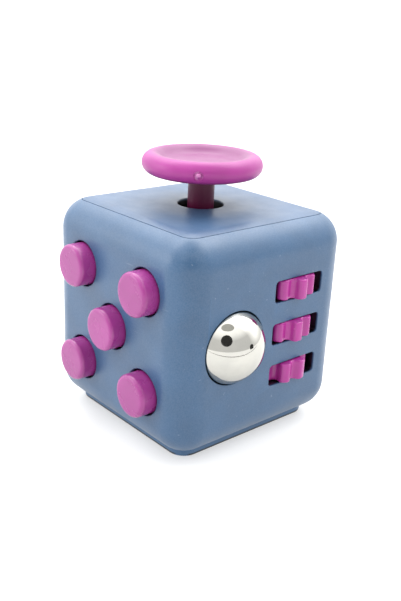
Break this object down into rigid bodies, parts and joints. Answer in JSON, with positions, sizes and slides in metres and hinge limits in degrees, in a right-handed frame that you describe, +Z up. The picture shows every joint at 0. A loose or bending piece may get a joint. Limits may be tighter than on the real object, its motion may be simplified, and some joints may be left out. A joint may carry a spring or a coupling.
{
  "type": "fidget cube",
  "caption": "Palm-sized fidget cube with press buttons, a click ball and thumb gears, a joystick, a rocker switch, a spinning dial and a thumb hollow.",
  "frame": {"origin": "middle of the base, on the surface that the cube stands on", "axes": "+Z up through the joystick face; -Y is the button face and +X the ball and gear face"},
  "size_m": [0.0404, 0.0375, 0.0417],
  "materials": {
    "shell_blue": "fine satin ABS, slate blue",
    "magenta": "satin ABS, magenta",
    "black_plastic": "low-friction acetal, black",
    "grey_plastic": "plain ABS, grey",
    "silicone": "translucent silicone rubber",
    "steel": "plain spring steel and zinc-plated screws",
    "chrome": "polished steel"
  },
  "bodies": {
    "cube": {"body_shell": "shell_blue", "top_cover": "shell_blue", "bottom_cover": "shell_blue", "joystick_socket": "black_plastic", "gear_spacer_1": "black_plastic", "gear_spacer_2": "black_plastic", "roll_bracket": "black_plastic", "button_plate": "grey_plastic", "rocker_housing": "grey_plastic", "dome_upper_right": "silicone", "dome_lower_left": "silicone", "dome_upper_left": "steel", "dome_centre": "steel", "dome_lower_right": "steel", "joystick_spring": "steel", "joystick_screw_front": "steel", "joystick_screw_rear": "steel", "button_plate_screw_1": "steel", "button_plate_screw_2": "steel", "button_plate_screw_3": "steel", "ball_spring": "steel", "gear_axle": "steel", "click_comb": "steel", "comb_screw": "steel", "bracket_screw_1": "steel", "bracket_screw_2": "steel", "bracket_screw_3": "steel", "bracket_screw_4": "steel", "rocker_pin": "steel", "rocker_spring": "steel", "rocker_screw_upper": "steel", "rocker_screw_lower": "steel", "dial_wave_washer": "steel"},
    "joystick_shield": {"joystick_shield": "black_plastic"},
    "joystick": {"joystick": "magenta", "joystick_base": "black_plastic"},
    "ball_cup": {"ball_cup": "black_plastic"},
    "ball_ring": {"ball_ring": "black_plastic"},
    "click_ball": {"click_ball": "chrome"},
    "gear_1": {"gear_1": "magenta"},
    "gear_2": {"gear_2": "magenta"},
    "gear_3": {"gear_3": "magenta"},
    "rocker": {"rocker": "magenta"},
    "rocker_plunger": {"rocker_plunger": "black_plastic"},
    "spin_dial": {"spin_dial": "magenta", "dial_washer": "steel", "dial_screw": "steel"},
    "button_upper_left": {"button_upper_left": "magenta"},
    "button_upper_right": {"button_upper_right": "magenta"},
    "button_centre": {"button_centre": "magenta"},
    "button_lower_left": {"button_lower_left": "magenta"},
    "button_lower_right": {"button_lower_right": "magenta"}
  },
  "joints": [
    {"name": "joystick_tilt_x", "type": "hinge", "parent": "cube", "child": "joystick_shield", "pos_m": [0, 0, 0.02695], "axis": [1, 0, 0], "range_deg": [-8, 8], "stiffness_Nm_per_rad": 0.04, "deforming": ["joystick_spring"]},
    {"name": "joystick_tilt_y", "type": "hinge", "parent": "joystick_shield", "child": "joystick", "pos_m": [0, 0, 0.02695], "axis": [0, 1, 0], "range_deg": [-8, 8], "stiffness_Nm_per_rad": 0.04},
    {"name": "button_upper_left_press", "type": "slide", "parent": "cube", "child": "button_upper_left", "axis": [0, 1, 0], "range_m": [0, 0.001], "stiffness_N_per_m": 350, "springref_m": -0.0005, "deforming": ["dome_upper_left"]},
    {"name": "button_upper_right_press", "type": "slide", "parent": "cube", "child": "button_upper_right", "axis": [0, 1, 0], "range_m": [0, 0.001], "stiffness_N_per_m": 350, "springref_m": -0.0005, "deforming": ["dome_upper_right"]},
    {"name": "button_centre_press", "type": "slide", "parent": "cube", "child": "button_centre", "axis": [0, 1, 0], "range_m": [0, 0.001], "stiffness_N_per_m": 350, "springref_m": -0.0005, "deforming": ["dome_centre"]},
    {"name": "button_lower_left_press", "type": "slide", "parent": "cube", "child": "button_lower_left", "axis": [0, 1, 0], "range_m": [0, 0.001], "stiffness_N_per_m": 350, "springref_m": -0.0005, "deforming": ["dome_lower_left"]},
    {"name": "button_lower_right_press", "type": "slide", "parent": "cube", "child": "button_lower_right", "axis": [0, 1, 0], "range_m": [0, 0.001], "stiffness_N_per_m": 350, "springref_m": -0.0005, "deforming": ["dome_lower_right"]},
    {"name": "ball_press", "type": "slide", "parent": "cube", "child": "ball_cup", "axis": [-1, 0, 0], "range_m": [0, 0.0008], "stiffness_N_per_m": 600, "springref_m": -0.0006, "deforming": ["ball_spring"]},
    {"name": "ball_seat_turn", "type": "hinge", "parent": "ball_cup", "child": "ball_ring", "pos_m": [0.0144, -0.00676, 0.01727], "axis": [1, 0, 0], "continuous": true},
    {"name": "ball_roll", "type": "hinge", "parent": "ball_ring", "child": "click_ball", "pos_m": [0.0144, -0.00676, 0.01727], "axis": [0, 1, 0], "continuous": true},
    {"name": "gear_1_spin", "type": "hinge", "parent": "cube", "child": "gear_1", "pos_m": [0.0133, 0.0057, 0.02406], "axis": [0, 0, 1], "continuous": true},
    {"name": "gear_2_spin", "type": "hinge", "parent": "cube", "child": "gear_2", "pos_m": [0.0133, 0.0057, 0.01736], "axis": [0, 0, 1], "continuous": true},
    {"name": "gear_3_spin", "type": "hinge", "parent": "cube", "child": "gear_3", "pos_m": [0.0133, 0.0057, 0.01066], "axis": [0, 0, 1], "continuous": true},
    {"name": "rocker_flip", "type": "hinge", "parent": "cube", "child": "rocker", "pos_m": [0, 0.013, 0.01745], "axis": [1, 0, 0], "range_deg": [0, 24]},
    {"name": "rocker_plunger_slide", "type": "slide", "parent": "cube", "child": "rocker_plunger", "axis": [0, -1, 0], "range_m": [0, 0.0003], "stiffness_N_per_m": 200, "springref_m": -0.0003, "deforming": ["rocker_spring"]},
    {"name": "dial_spin", "type": "hinge", "parent": "cube", "child": "spin_dial", "pos_m": [-0.0165, 0, 0.01745], "axis": [-1, 0, 0], "continuous": true}
  ]
}
